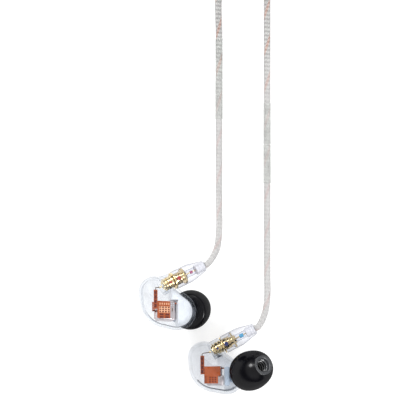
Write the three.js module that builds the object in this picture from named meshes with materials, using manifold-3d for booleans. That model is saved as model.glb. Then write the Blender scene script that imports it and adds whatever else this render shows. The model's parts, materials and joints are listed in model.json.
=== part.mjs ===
// A pair of clear in-ear monitors with two balanced-armature drivers each, foam tips and a detachable cable.
// Units are millimetres, +Z is up and the pair lies on the plane z = 0. The origin is below the middle of
// the two monitors.
//
// Each monitor is modelled once in its own frame: its origin is the mating face of the coaxial connector,
// +X runs along the connector towards the cable, and +Z points from the outer face to the ear. The other
// monitor is its mirror.
import * as THREE from 'three';
import { mergeVertices } from 'three/addons/utils/BufferGeometryUtils.js';
import Module from 'manifold-3d';

const wasm = await Module();
wasm.setup();

// ---- driving dimensions ----
const GAP = 0.06; // glue and running clearance between neighbouring pieces
const ROUND = 18; // sides of a turned piece
const WALL = 0.8; // thickness of the clear shells

// Where each monitor lies: its connector's mating face, its connector's heading, and its pitch.
const RIGHT = { name: 'right', at: [-10.2, 14.7, 17.26], heading: 25.6, pitch: 21, mirrored: true };
const LEFT = { name: 'left', at: [5.15, -5.6, 5.0], heading: 27.6, pitch: 0, mirrored: false };

// The shell: a pebble bounded by three tangent arcs, whose rounded edge is a quarter ellipse.
const OUTLINE = [
  { x: -3.2, y: -9.0, radius: 5.75, from: -127.3, to: 27.5 },
  { x: -6.8, y: -0.6, radius: 5.0, from: 27.5, to: 155.8 },
  { x: -4.6, y: -4.48, radius: 8.5, from: 155.8, to: 232.7 },
];
const EDGE = { reach: 3.4, rise: 3.6, steps: 3 };
const SIDE = { low: -1.4, high: 1.0 }; // the upright band between the two rounded edges
const SEAM = -0.6;
const RIM_STEP = 0.3; // how far the outer shell's rim stands proud of the inner shell
const COLLAR = { radius: 2.85, from: -4.0, to: -0.1 };

// The coaxial connector.
const JACK = { radius: 1.9, bore: 1.6, from: -3.4, to: -0.1 };
const PLUG = { radius: 1.85, nose: 1.42, groove: 1.16, length: 2.8, rim: 2.62, flange: 2.5 };
const HOUSING = { radius: 2.85, neck: 1.7, shoulder: 7.4, length: 11.5, bore: 1.14 };

// The nozzle, and the ear tip on it. Distances run along the nozzle from where it leaves the shell.
const NOZZLE = { at: [0.78, -10.6, 2.8], lean: 34, radius: 1.5, bore: 0.95, from: -3.4, to: 7.4, barb: 1.62 };
const BOSS = { radius: 2.5, from: -2.6, to: 1.2 };
const TIP = { from: 2.1, length: 12, back: 5.4, widest: 6.1, bore: 2.2, core: 1.7, coreLength: 11.4 };

// The drivers sit square to the pebble's long axis, at this angle to the connector.
const STACK_TURN = -27;

// The cable.
const BRANCH = { radius: 1.0, z: 1.35 };
const MAIN = { radius: 1.1 };
const CABLE_START = 8.6; // along the connector, inside its housing
const SIDES = 8;
const RIGHT_RUN_X = 4.2;
const LEFT_RUN_X = 19.2;
const SLEEVE = { thin: 1.17, thick: 1.29, bore: 1.05 };
const RIGHT_SLEEVES = { thick: [65.0, 77.0], thin: [77.3, 90.0] };
const LEFT_SLEEVES = { thick: [45.0, 56.9], thin: [57.2, 70.0] };

// The stored cable: three rings on one centre, with the branches below and the main lead on top.
const COIL = { x: 6, y: 126, base: 0.9, layer: 0.3, middle: 12 };
const BRANCH_RING = { across: 2, high: 2 };
const MAIN_RING = { across: 5, high: 3 };
const TWIN = { y: 144.3, apart: 2.2, z: 1.8 };
const SPLIT = { from: -15, to: -6, width: 7, height: 3.6 };
const SLIDER = { from: -5.6, to: 0.9, width: 7.4, height: 3.6 };
const STEREO = { from: 15.5, y: 134, z: 19.7, relief: 6, body: 15, radius: 3.5, pin: 1.75, pinLength: 14 };

const DEG = Math.PI / 180;

// ---- solids ----

// A three.js geometry as a solid, with the slivers on a lathe's axis left out.
function solid(geometry) {
  const bare = geometry.index ? geometry.toNonIndexed() : geometry.clone();
  bare.deleteAttribute('normal');
  bare.deleteAttribute('uv');
  const merged = mergeVertices(bare, 1e-4);
  const index = merged.index.array;
  const kept = [];
  for (let i = 0; i < index.length; i += 3) {
    const [a, b, c] = [index[i], index[i + 1], index[i + 2]];
    if (a !== b && b !== c && c !== a) kept.push(a, b, c);
  }
  const vertProperties = merged.attributes.position.array;
  return new wasm.Manifold(new wasm.Mesh({ numProp: 3, vertProperties, triVerts: new Uint32Array(kept) }));
}

function geometryOf(made) {
  const mesh = made.getMesh();
  const geometry = new THREE.BufferGeometry();
  geometry.setAttribute('position', new THREE.BufferAttribute(new Float32Array(mesh.vertProperties), 3));
  geometry.setIndex(new THREE.BufferAttribute(new Uint32Array(mesh.triVerts), 1));
  geometry.computeVertexNormals();
  return geometry;
}

// A piece turned about +X from a closed profile of [x, radius] points.
function turned(profile, sides = ROUND) {
  const area = profile.reduce((sum, [x, r], i) => {
    const [nextX, nextR] = profile[(i + 1) % profile.length];
    return sum + x * nextR - nextX * r;
  }, 0);
  const ordered = area > 0 ? [...profile].reverse() : [...profile];
  const onAxis = profile[0][1] === 0 && profile[profile.length - 1][1] === 0;
  const closed = onAxis ? ordered : [...ordered, ordered[0]];
  const points = closed.map(([x, r]) => new THREE.Vector2(r, x));
  return solid(new THREE.LatheGeometry(points, sides).rotateZ(-Math.PI / 2));
}

const rod = (radius, from, to, sides) => turned([[from, 0], [from, radius], [to, radius], [to, 0]], sides);
const pipe = (radius, bore, from, to, sides) => turned([
  [from, bore], [from, radius], [to, radius], [to, bore],
], sides);

function block(low, high) {
  const size = high.map((v, i) => v - low[i]);
  const middle = high.map((v, i) => (v + low[i]) / 2);
  return solid(new THREE.BoxGeometry(...size).translate(...middle));
}

// A matrix that carries +X on to the nozzle's axis, with distance 0 where the nozzle leaves the shell.
const alongNozzle = new THREE.Matrix4()
  .makeRotationY((NOZZLE.lean - 90) * DEG)
  .setPosition(...NOZZLE.at);
const onNozzle = (made) => solid(geometryOf(made).applyMatrix4(alongNozzle));

const outline = new THREE.Shape();
for (const { x, y, radius, from, to } of OUTLINE) outline.absarc(x, y, radius, from * DEG, to * DEG);

// The pebble, drawn in from the outline by inset all round and by thinner at its two faces.
function pebble(inset, thinner) {
  const depth = SIDE.high - SIDE.low;
  return solid(new THREE.ExtrudeGeometry(outline, {
    depth,
    curveSegments: 5,
    bevelThickness: EDGE.rise - thinner,
    bevelSize: EDGE.reach,
    bevelOffset: -EDGE.reach - inset,
    bevelSegments: EDGE.steps,
  }).translate(0, 0, SIDE.low));
}

// ---- one monitor, in its own frame ----

const collar = rod(COLLAR.radius, COLLAR.from, COLLAR.to);
const FAR = 40;
const below = (z) => block([-FAR, -FAR, -FAR], [FAR, FAR, z]);
const above = (z) => block([-FAR, -FAR, z], [FAR, FAR, FAR]);

function outerShell() {
  const cavity = pebble(WALL, WALL).subtract(collar);
  const jackSeat = rod(JACK.radius + GAP, COLLAR.from - 1, FAR);
  return pebble(0, 0).add(collar).intersect(below(SEAM)).subtract(cavity).subtract(jackSeat);
}

function innerShell() {
  const boss = onNozzle(rod(BOSS.radius, BOSS.from, BOSS.to));
  const cavity = pebble(WALL + RIM_STEP, WALL).subtract(collar).subtract(boss);
  const jackSeat = rod(JACK.radius + GAP, COLLAR.from - 1, FAR);
  const nozzleSeat = onNozzle(rod(NOZZLE.radius + GAP, BOSS.from - 2, FAR));
  return pebble(RIM_STEP, 0).add(collar).add(boss.intersect(above(SEAM + GAP)))
    .intersect(above(SEAM + GAP)).subtract(cavity).subtract(jackSeat).subtract(nozzleSeat);
}

function nozzle() {
  const { radius, bore, from, to, barb } = NOZZLE;
  return onNozzle(turned([
    [from, bore], [from, radius], [to - 1.6, radius], [to - 1.4, barb], [to, radius - 0.1], [to, bore],
  ]));
}

const nozzleFilter = () => onNozzle(rod(NOZZLE.bore - GAP, NOZZLE.to - 1.0, NOZZLE.to - 0.5, 16));

function earFoam() {
  const { from, length, back, widest, bore } = TIP;
  const outer = [
    [0, back - 0.9], [0.25, back - 0.2], [1.2, back + 0.35], [3.2, widest], [5.6, widest - 0.05],
    [8.2, widest - 0.6], [10.2, widest - 1.55], [11.4, widest - 2.55], [length, widest - 3.3],
  ];
  return onNozzle(turned([
    [from, bore], ...outer.map(([x, r]) => [from + x, r]),
    [from + length, bore + 0.35], [from + length - 0.3, bore],
  ], 24));
}

const earCore = () => onNozzle(pipe(TIP.bore - GAP, TIP.core, TIP.from + 0.2, TIP.from + TIP.coreLength, 20));

const inStack = (made) => solid(geometryOf(made).rotateZ(STACK_TURN * DEG));
const TWEETER = { low: [-5.4, -9.1, -1.9], high: [-0.4, -6.4, 1.7] };
const WOOFER = { low: [-4.9, -12.3, -2.3], high: [0.4, -9.3, 2.5] };
const BOOT = { low: [0.6, -12.4, -1.9], high: [2.5, -6.6, 1.8] };

const tweeter = () => inStack(block(TWEETER.low, TWEETER.high));
const woofer = () => inStack(block(WOOFER.low, WOOFER.high));

// The boot that gathers both drivers' spouts and leads them into the nozzle, and the saddle under it that
// fills the front of the outer shell.
const SADDLE = { floor: -3.9, roof: -0.9, left: 0.6, shelfLeft: -1.5, shelf: -6.2, top: -3.0 };
function soundBoot() {
  const { floor, roof, left, shelfLeft, shelf, top } = SADDLE;
  const spout = onNozzle(rod(NOZZLE.bore + 0.35, NOZZLE.from - 1.5, NOZZLE.from - GAP, 12));
  const roomAbove = onNozzle(rod(BOSS.radius + GAP, NOZZLE.from - GAP, FAR));
  const front = block([left, -FAR, floor], [FAR, top, roof]);
  const shelfPart = block([shelfLeft, shelf, floor], [left + GAP, top, roof]);
  const inset = WALL + RIM_STEP + GAP;
  const saddle = pebble(inset, WALL + GAP).intersect(inStack(front.add(shelfPart)))
    .subtract(rod(COLLAR.radius + GAP, COLLAR.from - GAP, FAR));
  return inStack(block(BOOT.low, BOOT.high)).add(spout).add(saddle).subtract(roomAbove);
}

// The folded polyimide circuit: a leaf on each side of the drivers, the fold that joins them, and its tail
// to the jack.
function flexCircuit() {
  const leaf = 0.2;
  const clear = 0.1;
  const [left, right] = [TWEETER.low[0] - clear, BOOT.low[0] - clear];
  const [floor, roof] = [WOOFER.low[2] - clear, WOOFER.high[2] + clear];
  const outerLeaf = block([left - leaf, -11.9, floor - leaf], [-0.6, -6.6, floor]);
  const innerLeaf = block([left - leaf, -9.2, roof], [-0.6, -6.3, roof + leaf]);
  const innerTab = block([WOOFER.low[0], -11.6, roof], [-1.4, -9.1, roof + leaf]);
  const fold = block([left - leaf, -9.0, floor - leaf], [left, -6.9, roof + leaf]);
  const bridge = block([-2.0, -7.4, floor - leaf], [right, -6.9, floor]);
  const tail = block([left - 1.3, -9.0, floor - leaf], [left - leaf / 2, -3.2, floor]);
  return inStack(outerLeaf.add(innerLeaf).add(innerTab).add(fold).add(bridge).add(tail));
}

// ---- the coaxial connector ----

function jackBarrel() {
  const { radius, bore, from, to } = JACK;
  return turned([
    [from, 0.62], [from, 1.5], [from + 0.5, 1.5], [from + 0.5, radius], [to, radius], [to, bore + 0.12],
    [to - 0.15, bore], [from + 0.6, bore], [from + 0.6, 0.62],
  ]);
}

const jackInsulator = () => pipe(0.62 - GAP / 2, 0.34, JACK.from - 0.5, JACK.from + 1.0, 14);
const jackContact = () => turned([
  [JACK.from - 1.2, 0], [JACK.from - 1.2, 0.3], [JACK.from + 1.9, 0.3], [JACK.from + 1.9, 0.2],
  [JACK.from + 0.9, 0.2], [JACK.from + 0.9, 0],
], 12);

function plugBarrel() {
  const { radius, nose, groove, length, rim, flange } = PLUG;
  const flat = block([3.6, -flange - 1, 1.6], [4.3, flange + 1, flange + 1]);
  return turned([
    [-2.4, 0.75], [-2.4, nose - 0.15], [-2.1, nose], [-1.6, nose], [-1.6, groove], [-1.1, groove],
    [-1.1, nose], [0.1, nose], [0.1, rim], [0.5, rim], [0.5, radius], [length, radius], [length, 1.5],
    [3.7, 1.5], [3.7, flange], [4.2, flange], [4.2, 1.3], [4.8, 1.3], [4.8, 0.75],
  ]).subtract(flat).subtract(flat.mirror([0, 0, 1]));
}

const snapRing = () => pipe(JACK.bore - 0.05, PLUG.groove + 0.05, -1.55, -1.15, 20);
const plugInsulator = () => pipe(0.75 - GAP, 0.24, -0.6, 4.6, 14);

// The centre pin, with the wire that is soldered to it and runs back to the cable.
const PIN_TAIL = CABLE_START - 2 * GAP;
const plugPin = () => turned([
  [-2.2, 0], [-1.9, 0.14], [-0.9, 0.16], [-0.8, 0.18], [PIN_TAIL, 0.18], [PIN_TAIL, 0],
], 10);

// The coloured dot let into the housing, on the side facing up.
const DOT = { x: 1.45, radius: 0.65, depth: 0.3 };
function dotAt(facing, radius, from, to) {
  const upright = geometryOf(rod(radius, from, to, 14)).rotateY((-Math.PI / 2) * facing);
  return solid(upright.translate(DOT.x, 0, 0));
}
const channelDot = (facing) => dotAt(facing, DOT.radius, HOUSING.radius - DOT.depth, HOUSING.radius);

function connectorHousing(facing) {
  const { radius, neck, shoulder, length, bore } = HOUSING;
  const pocket = dotAt(facing, DOT.radius + GAP, radius - DOT.depth - GAP, radius + 1);
  return turned([
    [0.56, PLUG.radius + GAP], [0.56, radius - 0.15], [0.76, radius], [shoulder - 1.4, radius],
    [shoulder, radius - 0.25], [length - 1.2, neck + 0.25], [length, neck], [length, bore],
    [5.0, bore], [5.0, 1.3 + GAP], [4.26, 1.3 + GAP], [4.26, PLUG.flange + GAP], [3.64, PLUG.flange + GAP],
    [3.0, PLUG.radius + GAP],
  ]).subtract(pocket);
}

// ---- the scene graph ----

const monitors = new THREE.Group();

function piece(name, made, [colour, roughness, metalness], parent = monitors) {
  const material = new THREE.MeshStandardMaterial({ color: colour, roughness, metalness });
  const mesh = new THREE.Mesh(geometryOf(made), material);
  mesh.name = name;
  parent.add(mesh);
}

const CLEAR = [0xe4e8ee, 0.08, 0];
const GOLD = [0xc9a24a, 0.25, 1];
const COPPER_FILM = [0xb9481c, 0.35, 0.1];
const FOAM = [0x17171b, 0.75, 0];
const STEEL = [0xb9b4b6, 0.3, 1];
const WHITE = [0xeeeeea, 0.5, 0];
const GREY_RUBBER = [0xa9b4c2, 0.6, 0];
const CABLE = [0xd4d4d0, 0.35, 0];
const RED = [0xc4202c, 0.4, 0];
const BLUE = [0x1f3f9e, 0.4, 0];

function placed(side) {
  const group = new THREE.Group();
  group.position.set(...side.at);
  group.rotation.set(0, side.pitch * DEG, side.heading * DEG, 'ZYX');
  if (side.mirrored) group.scale.z = -1;
  monitors.add(group);
  return group;
}

function monitor(side) {
  const group = placed(side);
  const add = (name, made, look) => piece(side.name + '_' + name, made, look, group);
  add('outer_shell', outerShell(), CLEAR);
  add('inner_shell', innerShell(), CLEAR);
  add('nozzle', nozzle(), WHITE);
  add('nozzle_filter', nozzleFilter(), STEEL);
  add('tweeter', tweeter(), STEEL);
  add('woofer', woofer(), STEEL);
  add('sound_boot', soundBoot(), GREY_RUBBER);
  add('flex_circuit', flexCircuit(), COPPER_FILM);
  add('jack_barrel', jackBarrel(), GOLD);
  add('jack_insulator', jackInsulator(), WHITE);
  add('jack_contact', jackContact(), GOLD);
  add('ear_foam', earFoam(), FOAM);
  add('ear_core', earCore(), FOAM);
  add('snap_ring', snapRing(), GOLD);
  add('plug_barrel', plugBarrel(), GOLD);
  add('plug_insulator', plugInsulator(), WHITE);
  add('plug_pin', plugPin(), GOLD);
  const facing = side.mirrored ? -1 : 1;
  add('connector_housing', connectorHousing(facing), CLEAR);
  add('channel_dot', channelDot(facing), side.mirrored ? RED : BLUE);
}

// ---- the cable ----

// A point on a monitor's connector axis, in the row frame.
function onAxis(side, distance) {
  const turn = new THREE.Euler(0, side.pitch * DEG, side.heading * DEG, 'ZYX');
  return new THREE.Vector3(distance, 0, 0).applyEuler(turn).add(new THREE.Vector3(...side.at));
}

const disc = (radius) => new THREE.Shape(
  Array.from({ length: SIDES }, (_, i) => new THREE.Vector2(
    radius * Math.cos((2 * Math.PI * i) / SIDES), radius * Math.sin((2 * Math.PI * i) / SIDES))));

function lead(radius, points, steps) {
  const route = new THREE.CatmullRomCurve3(points.map((p) => (p.isVector3 ? p : new THREE.Vector3(...p))));
  return solid(new THREE.ExtrudeGeometry(disc(radius), { steps, extrudePath: route }));
}

const RIGHT_LEAD = [
  onAxis(RIGHT, CABLE_START), onAxis(RIGHT, HOUSING.length), onAxis(RIGHT, HOUSING.length + 1.2),
  [3.3, 24.1, 11.0], [RIGHT_RUN_X, 30, 9.0], [RIGHT_RUN_X, 38, 5.6], [RIGHT_RUN_X, 46, 3.0],
  [RIGHT_RUN_X, 54, 1.6],
  [RIGHT_RUN_X, 62, BRANCH.z], [RIGHT_RUN_X, 76, BRANCH.z], [RIGHT_RUN_X, 90, BRANCH.z],
  [RIGHT_RUN_X, 104, 1.5], [5.6, 108.5, 1.7], [8.6, 111.4, 1.9], [12.2, 112, 1.9],
];
const LEFT_LEAD = [
  onAxis(LEFT, CABLE_START), onAxis(LEFT, HOUSING.length), onAxis(LEFT, HOUSING.length + 1.2),
  [18.5, 4.6, 4.5], [LEFT_RUN_X, 9.5, 3.7], [LEFT_RUN_X, 16, 2.4], [LEFT_RUN_X, 23, 1.6],
  [LEFT_RUN_X, 31, BRANCH.z],
  [LEFT_RUN_X, 45, BRANCH.z], [LEFT_RUN_X, 60, BRANCH.z], [LEFT_RUN_X, 75, BRANCH.z],
  [LEFT_RUN_X, 90, BRANCH.z], [LEFT_RUN_X, 103, 1.6], [LEFT_RUN_X, 110, 3.4], [LEFT_RUN_X, 117.5, 5.6],
];
const TWIN_INNER = TWIN.y - TWIN.apart / 2;
const TWIN_OUTER = TWIN.y + TWIN.apart / 2;
const RIGHT_TAIL = [
  [19.3, 134.9, 3.4], [17.7, 139.4, 2.6], [14.4, 142.3, 2.0], [10, TWIN_INNER, TWIN.z],
  [5, TWIN_INNER, TWIN.z], [0, TWIN_INNER, TWIN.z], [SPLIT.to + 0.3, TWIN_INNER, TWIN.z],
];
const LEFT_TAIL = [
  [20.4, 134.0, 7.3], [20.3, 139.4, 5.2], [16.6, 144.0, 2.9], [10, TWIN_OUTER, TWIN.z],
  [5, TWIN_OUTER, TWIN.z], [0, TWIN_OUTER, TWIN.z], [SPLIT.to + 0.3, TWIN_OUTER, TWIN.z],
];
const MAIN_LEAD = [
  [SPLIT.from - 0.3, TWIN.y, TWIN.z], [-18.4, 143.7, 2.0], [-21.2, 141.3, 2.7], [-22.4, 137.4, 3.8],
  [-22.0, 132.6, 5.4], [-20.4, 128.0, 7.2], [-17.8, 123.8, 8.9], [-14.4, 120.2, 10.2], [-11.2, 117.6, 10.6],
];
const MAIN_TAIL = [
  [22.4, 124.0, 17.3], [22.7, 127.5, 17.5], [21.9, 131.0, 18.6], [19.4, 133.6, 19.5],
  [STEREO.from + 0.3, STEREO.y, STEREO.z],
];

// The closed outer shape of a coil of so many turns across and high, standing on z = base.
function coilRing(cordRadius, { across, high }, base) {
  const reach = across * cordRadius;
  const height = high * 2 * cordRadius;
  const ring = pipe(COIL.middle + reach, COIL.middle - reach, base, base + height, 26);
  return solid(geometryOf(ring).rotateY(-Math.PI / 2).translate(COIL.x, COIL.y, 0));
}

const branchHeight = BRANCH_RING.high * 2 * BRANCH.radius;
const mainHeight = MAIN_RING.high * 2 * MAIN.radius;
const leftBase = COIL.base + branchHeight + COIL.layer;
const mainBase = leftBase + branchHeight + COIL.layer;
const coilTop = mainBase + mainHeight;

// A heat-shrink sleeve on a straight run of cable along +Y.
function sleeve(radius, [from, to], x) {
  const tube = pipe(radius, SLEEVE.bore, from, to, 16);
  return solid(geometryOf(tube).rotateZ(Math.PI / 2).translate(x, 0, BRANCH.z));
}

// A flat-sided capsule lying along X, with rounded corners seen from above and from the side.
function capsule(from, to, width, height) {
  const corner = 1.0;
  const shape = new THREE.Shape();
  const [low, high] = [TWIN.y - width / 2, TWIN.y + width / 2];
  shape.moveTo(from + corner, low).lineTo(to - corner, low).quadraticCurveTo(to, low, to, low + corner);
  shape.lineTo(to, high - corner).quadraticCurveTo(to, high, to - corner, high);
  shape.lineTo(from + corner, high).quadraticCurveTo(from, high, from, high - corner);
  shape.lineTo(from, low + corner).quadraticCurveTo(from, low, from + corner, low);
  const bevel = 0.5;
  return solid(new THREE.ExtrudeGeometry(shape, {
    depth: height - 2 * bevel, bevelThickness: bevel, bevelSize: bevel, bevelOffset: -bevel,
    bevelSegments: 2, curveSegments: 4,
  }).translate(0, 0, bevel));
}

const boreAlongX = (radius, y, from, to) => solid(
  geometryOf(rod(radius, from, to, 16)).translate(0, y, TWIN.z));

const ySplit = () => capsule(SPLIT.from, SPLIT.to, SPLIT.width, SPLIT.height);
function cableSlider() {
  const hole = BRANCH.radius + 0.1;
  return capsule(SLIDER.from, SLIDER.to, SLIDER.width, SLIDER.height)
    .subtract(boreAlongX(hole, TWIN_INNER, SLIDER.from - 1, SLIDER.to + 1))
    .subtract(boreAlongX(hole, TWIN_OUTER, SLIDER.from - 1, SLIDER.to + 1));
}

// The hook-and-loop tie round one side of the stacked coils.
function cableTie() {
  const [thick, clear, width] = [0.6, 0.25, 4];
  const mainReach = MAIN_RING.across * MAIN.radius;
  const outside = COIL.x - COIL.middle - mainReach - clear;
  const inside = COIL.x - Math.sqrt((COIL.middle - mainReach) ** 2 - (width / 2) ** 2) + clear;
  const roof = coilTop + COIL.layer;
  const [low, high] = [COIL.y - width / 2, COIL.y + width / 2];
  const band = block([outside - thick, low, 0], [inside + thick, high, roof + thick]);
  return band.subtract(block([outside, COIL.y - width, thick], [inside, COIL.y + width, roof]));
}

// ---- the 3.5 mm stereo plug, lying on the coil and pointing along -X ----

const plugAlong = (made) => solid(
  geometryOf(made).rotateZ(Math.PI).translate(STEREO.from, STEREO.y, STEREO.z));
const bodyEnd = STEREO.relief + STEREO.body;
const pinEnd = bodyEnd + STEREO.pinLength;
const CONTACT = { core: 0.8, collar: 0.5, ring: 2.2, tip: 3.4 };
const tipStart = pinEnd - CONTACT.tip;
const ringStart = tipStart - CONTACT.collar - CONTACT.ring;
const sleeveEnd = ringStart - CONTACT.collar;

function stereoRelief() {
  const bore = MAIN.radius + GAP;
  return plugAlong(turned([
    [0, bore], [0, MAIN.radius + 0.6], [STEREO.relief - 0.3, 2.2], [STEREO.relief - 0.3, bore],
  ], 18));
}
const stereoBody = () => plugAlong(turned([
  [STEREO.relief, 0], [STEREO.relief, 2.8], [STEREO.relief + 0.8, STEREO.radius],
  [bodyEnd - 0.6, STEREO.radius], [bodyEnd, STEREO.radius - 0.5], [bodyEnd, 0],
]));
const stereoInsulator = () => plugAlong(turned([
  [bodyEnd + 0.1, 0], [bodyEnd + 0.1, CONTACT.core], [sleeveEnd + GAP, CONTACT.core], [sleeveEnd + GAP, 1.7],
  [ringStart - GAP, 1.7], [ringStart - GAP, CONTACT.core], [tipStart - CONTACT.collar + GAP, CONTACT.core],
  [tipStart - CONTACT.collar + GAP, 1.7], [tipStart - GAP, 1.7], [tipStart - GAP, CONTACT.core],
  [tipStart + 1.2, CONTACT.core], [tipStart + 1.2, 0],
]));
const contactPipe = (from, to) => plugAlong(pipe(STEREO.pin, CONTACT.core + GAP, from, to));
const stereoTip = () => plugAlong(turned([
  [tipStart, CONTACT.core + GAP], [tipStart, 1.6], [tipStart + 0.8, 1.25], [tipStart + 1.5, STEREO.pin],
  [tipStart + 2.2, STEREO.pin], [pinEnd - 0.3, 0.6], [pinEnd, 0], [tipStart + 1.3, 0],
  [tipStart + 1.3, CONTACT.core + GAP],
]));

function cable() {
  const sleeves = [['right', RIGHT_RUN_X, RIGHT_SLEEVES], ['left', LEFT_RUN_X, LEFT_SLEEVES]];
  for (const [name, x, { thick, thin }] of sleeves) {
    piece(name + '_wire_crimp_sleeve', sleeve(SLEEVE.thick, thick, x), CLEAR);
    piece(name + '_wire_end_sleeve', sleeve(SLEEVE.thin, thin, x), CLEAR);
  }
  piece('right_branch_lead', lead(BRANCH.radius, RIGHT_LEAD, 26), CABLE);
  piece('left_branch_lead', lead(BRANCH.radius, LEFT_LEAD, 26), CABLE);
  piece('right_branch_coil', coilRing(BRANCH.radius, BRANCH_RING, COIL.base), CABLE);
  piece('left_branch_coil', coilRing(BRANCH.radius, BRANCH_RING, leftBase), CABLE);
  piece('right_branch_tail', lead(BRANCH.radius, RIGHT_TAIL, 10), CABLE);
  piece('left_branch_tail', lead(BRANCH.radius, LEFT_TAIL, 10), CABLE);
  piece('y_split', ySplit(), FOAM);
  piece('cable_slider', cableSlider(), CLEAR);
  piece('main_lead', lead(MAIN.radius, MAIN_LEAD, 12), CABLE);
  piece('main_coil', coilRing(MAIN.radius, MAIN_RING, mainBase), CABLE);
  piece('main_tail', lead(MAIN.radius, MAIN_TAIL, 8), CABLE);
  piece('cable_tie', cableTie(), FOAM);
}

function stereoPlug() {
  piece('stereo_plug_relief', stereoRelief(), FOAM);
  piece('stereo_plug_body', stereoBody(), FOAM);
  piece('stereo_plug_insulator', stereoInsulator(), FOAM);
  piece('stereo_plug_sleeve', contactPipe(bodyEnd + 0.1, sleeveEnd), GOLD);
  piece('stereo_plug_ring', contactPipe(ringStart, ringStart + CONTACT.ring), GOLD);
  piece('stereo_plug_tip', stereoTip(), GOLD);
}

monitor(RIGHT);
monitor(LEFT);
cable();
stereoPlug();

export default monitors;
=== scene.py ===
"""A pair of clear in-ear monitors with their cable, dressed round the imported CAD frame.

Lengths below are in millimetres unless a name says otherwise; M turns them into metres.
Each monitor is built once in its own frame, as in the CAD: the origin is the mating face of its
connector, +x runs along the connector to the cable, and +z from the outer face to the ear.
"""
import json
import math

import bmesh
import bpy
from mathutils import Matrix, Vector


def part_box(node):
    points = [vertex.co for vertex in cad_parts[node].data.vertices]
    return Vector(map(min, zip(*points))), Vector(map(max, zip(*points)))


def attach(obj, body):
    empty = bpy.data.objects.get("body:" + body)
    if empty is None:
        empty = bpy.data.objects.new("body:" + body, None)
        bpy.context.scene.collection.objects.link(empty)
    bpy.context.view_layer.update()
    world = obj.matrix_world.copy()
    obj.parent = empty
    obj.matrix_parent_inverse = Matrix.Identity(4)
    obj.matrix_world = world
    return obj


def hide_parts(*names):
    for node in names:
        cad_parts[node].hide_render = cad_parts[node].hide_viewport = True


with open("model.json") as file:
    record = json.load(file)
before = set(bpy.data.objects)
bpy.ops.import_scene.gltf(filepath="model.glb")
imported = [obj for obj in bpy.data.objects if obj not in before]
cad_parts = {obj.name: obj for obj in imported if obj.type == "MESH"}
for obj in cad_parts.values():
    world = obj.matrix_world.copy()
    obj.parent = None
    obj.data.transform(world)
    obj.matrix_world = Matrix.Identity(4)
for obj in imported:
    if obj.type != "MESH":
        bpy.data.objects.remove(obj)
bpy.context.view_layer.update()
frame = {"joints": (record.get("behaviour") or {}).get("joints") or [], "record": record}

M = 0.001
JOINTS = {joint["name"]: joint for joint in frame["joints"]}
CAD_BODY = {}
for body_name, body_nodes in frame["record"]["behaviour"]["bodies"].items():
    for body_node in body_nodes:
        CAD_BODY[body_node] = body_name


# ---------------------------------------------------------------- camera
VIEW_CENTRE = (0.75, 37.2)
VIEW_WIDTH = 129.0
SUBJECT_HEIGHT = 8.0
CAMERA_DISTANCE = 1000.0
SENSOR = 36.0

camera_data = bpy.data.cameras.new("camera")
camera_data.sensor_width = SENSOR
camera_data.lens = SENSOR * CAMERA_DISTANCE / VIEW_WIDTH
camera_data.clip_end = 10
camera = bpy.data.objects.new("camera", camera_data)
camera.location = (VIEW_CENTRE[0] * M, VIEW_CENTRE[1] * M, (SUBJECT_HEIGHT + CAMERA_DISTANCE) * M)
bpy.context.scene.collection.objects.link(camera)
bpy.context.scene.camera = camera


# ---------------------------------------------------------------- frames of the two monitors
def side_frame(side):
    """The monitor's own frame as a matrix from its millimetres to the row's metres."""
    swivel = JOINTS[side + "_swivel"]
    along = Vector(swivel["axis"]).normalized()
    nozzle = Vector(JOINTS[side + "_tip_pull"]["axis"])
    inward = (nozzle - nozzle.dot(along) * along).normalized()
    hand = 1 if side == "left" else -1
    across = hand * inward.cross(along)
    rows = Matrix((along, across, inward)).transposed()
    return Matrix.Translation(Vector(swivel["pos_m"])) @ rows.to_4x4() @ Matrix.Scale(M, 4)


SIDES = {"right": side_frame("right"), "left": side_frame("left")}
NOZZLE_AT = Vector((0.78, -10.6, 2.8))
NOZZLE_LEAN = math.radians(34)
ON_NOZZLE = Matrix.Translation(NOZZLE_AT) @ Matrix.Rotation(NOZZLE_LEAN - math.pi / 2, 4, "Y")
STACK = Matrix.Rotation(math.radians(-27), 4, "Z")
ROW = Matrix.Scale(M, 4)


def on_axis(side, distance):
    """A point on a monitor's connector axis, in the row's millimetres."""
    return SIDES[side] @ Vector((distance, 0, 0)) / M


# ---------------------------------------------------------------- mesh helpers
def finish_mesh(name, bm, matrix, material, sharp=35):
    """Puts a closed bmesh in the row frame, smooth but for its sharp edges, and links it."""
    bmesh.ops.transform(bm, matrix=matrix, verts=bm.verts)
    bmesh.ops.recalc_face_normals(bm, faces=bm.faces)
    limit = math.radians(sharp)
    for edge in bm.edges:
        edge.smooth = len(edge.link_faces) == 2 and edge.calc_face_angle(0) < limit
    for face in bm.faces:
        face.smooth = True
    mesh = bpy.data.meshes.new(name)
    bm.to_mesh(mesh)
    bm.free()
    mesh.materials.append(material)
    made = bpy.data.objects.new(name, mesh)
    bpy.context.scene.collection.objects.link(made)
    return made


def install(made, node):
    """The piece rides on its node's body and stands for the node."""
    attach(made, CAD_BODY[node])
    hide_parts(node)
    return made


CORNER_STEPS = 3
CORNER_SHARE = 0.42


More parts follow.
